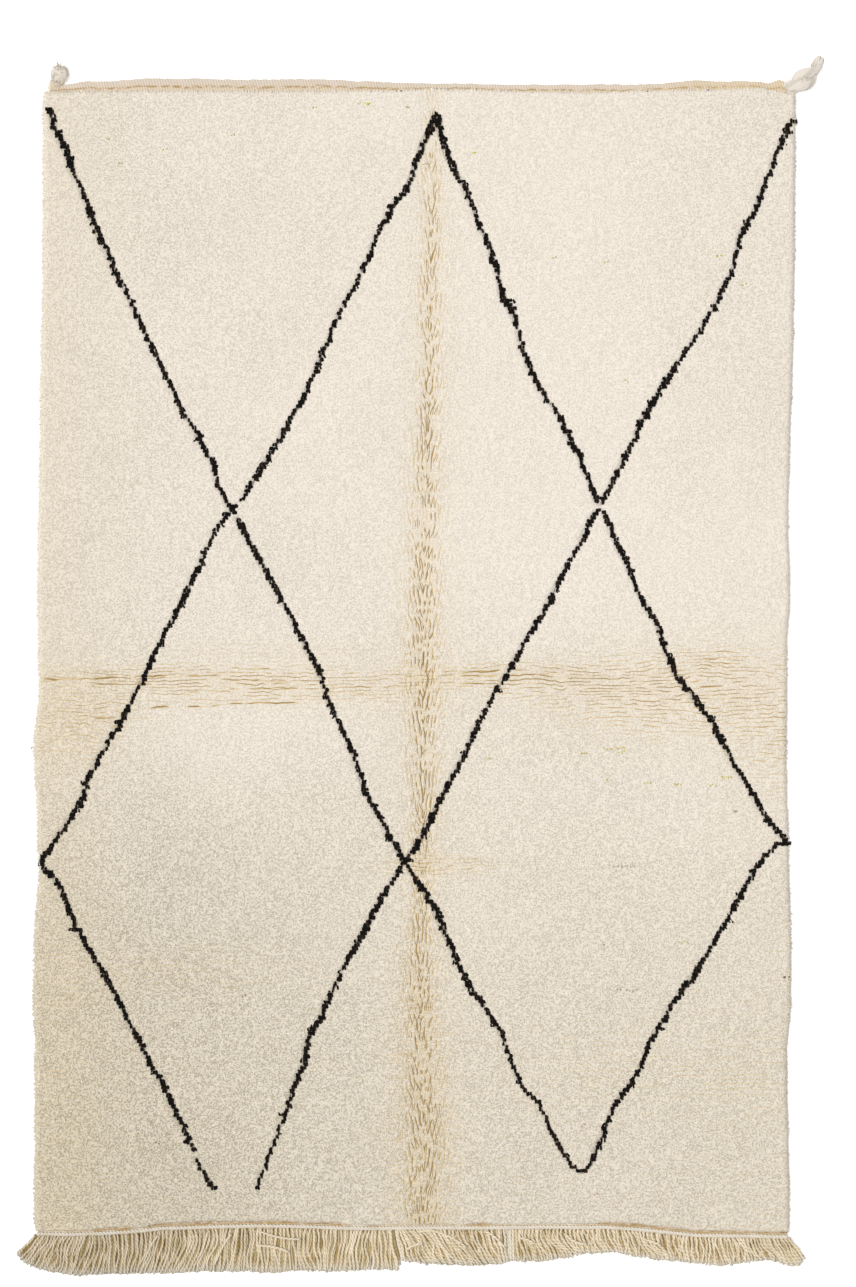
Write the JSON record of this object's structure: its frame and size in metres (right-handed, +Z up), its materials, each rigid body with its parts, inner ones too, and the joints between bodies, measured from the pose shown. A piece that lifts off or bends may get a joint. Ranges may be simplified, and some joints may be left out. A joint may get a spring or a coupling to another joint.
{
  "type": "beni ourain rug",
  "caption": "Hand-knotted ivory wool rug with a dark open lattice, a warp fringe at one end and a flat-woven hem with loose wool corners at the other.",
  "frame": {"origin": "on the floor, under the middle of the rug's whole spread with its fringe and corner wool", "axes": "+Z up from the floor through the pile, +Y along the rug towards its hemmed end, +X across it to the side with the twisted tail"},
  "size_m": [1.7256, 2.6008, 0.021],
  "materials": {
    "pile_wool": "cut ivory wool pile, soft and matt, with near-black knotted lattice lines",
    "cord_yarn": "twined pale wool cord, matt",
    "warp_yarn": "twisted cream cotton warp strands, matt",
    "tuft_wool": "loose carded wool, matt",
    "tail_wool": "loosely twisted wool, matt"
  },
  "bodies": {
    "root": {"rug": "pile_wool", "edge_cord": "cord_yarn", "fringe": "warp_yarn", "corner_tuft": "tuft_wool", "corner_tail": "tail_wool"}
  },
  "joints": []
}
